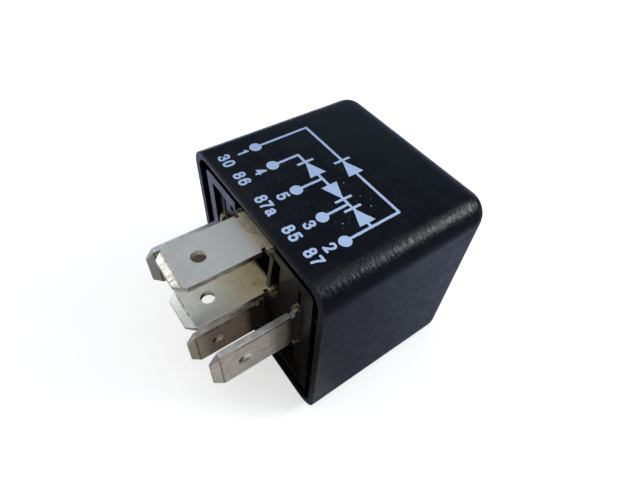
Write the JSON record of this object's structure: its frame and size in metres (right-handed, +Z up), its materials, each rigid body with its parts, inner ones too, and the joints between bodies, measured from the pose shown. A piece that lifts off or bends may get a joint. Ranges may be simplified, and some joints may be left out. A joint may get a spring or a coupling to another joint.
{
  "type": "plug-in diode module",
  "caption": "Square black plug-in module in a relay case, with flat blade terminals at its open end and a small board of axial diodes inside.",
  "frame": {"origin": "middle of the footprint on the surface that the module lies on, with the printed side up", "axes": "+Z up through the printed side, +Y along the blades' axis from the blade tips to the closed end, +X to the right seen from the blades"},
  "size_m": [0.0278, 0.0356, 0.0282],
  "materials": {
    "cover_plastic": "black, fine spark-eroded texture",
    "base_plastic": "black, satin",
    "terminal_metal": "brass with dull tin plating, bare brass at the staked ears",
    "board": "phenolic paper laminate",
    "copper": "copper foil",
    "diode_plastic": "moulded epoxy",
    "lead_wire": "tinned copper wire",
    "solder": "bright solder"
  },
  "bodies": {
    "root": {"cover": "cover_plastic", "base": "base_plastic", "terminal_87": "terminal_metal", "terminal_87a": "terminal_metal", "terminal_86": "terminal_metal", "terminal_85": "terminal_metal", "terminal_30": "terminal_metal", "circuit_board": "board", "copper_tracks": "copper", "diode_1_body": "diode_plastic", "diode_1_anode_lead": "lead_wire", "diode_1_cathode_lead": "lead_wire", "diode_2_body": "diode_plastic", "diode_2_anode_lead": "lead_wire", "diode_2_cathode_lead": "lead_wire", "diode_3_body": "diode_plastic", "diode_3_anode_lead": "lead_wire", "diode_3_cathode_lead": "lead_wire", "diode_4_body": "diode_plastic", "diode_4_anode_lead": "lead_wire", "diode_4_cathode_lead": "lead_wire", "terminal_solder": "solder", "diode_solder": "solder"}
  },
  "joints": []
}
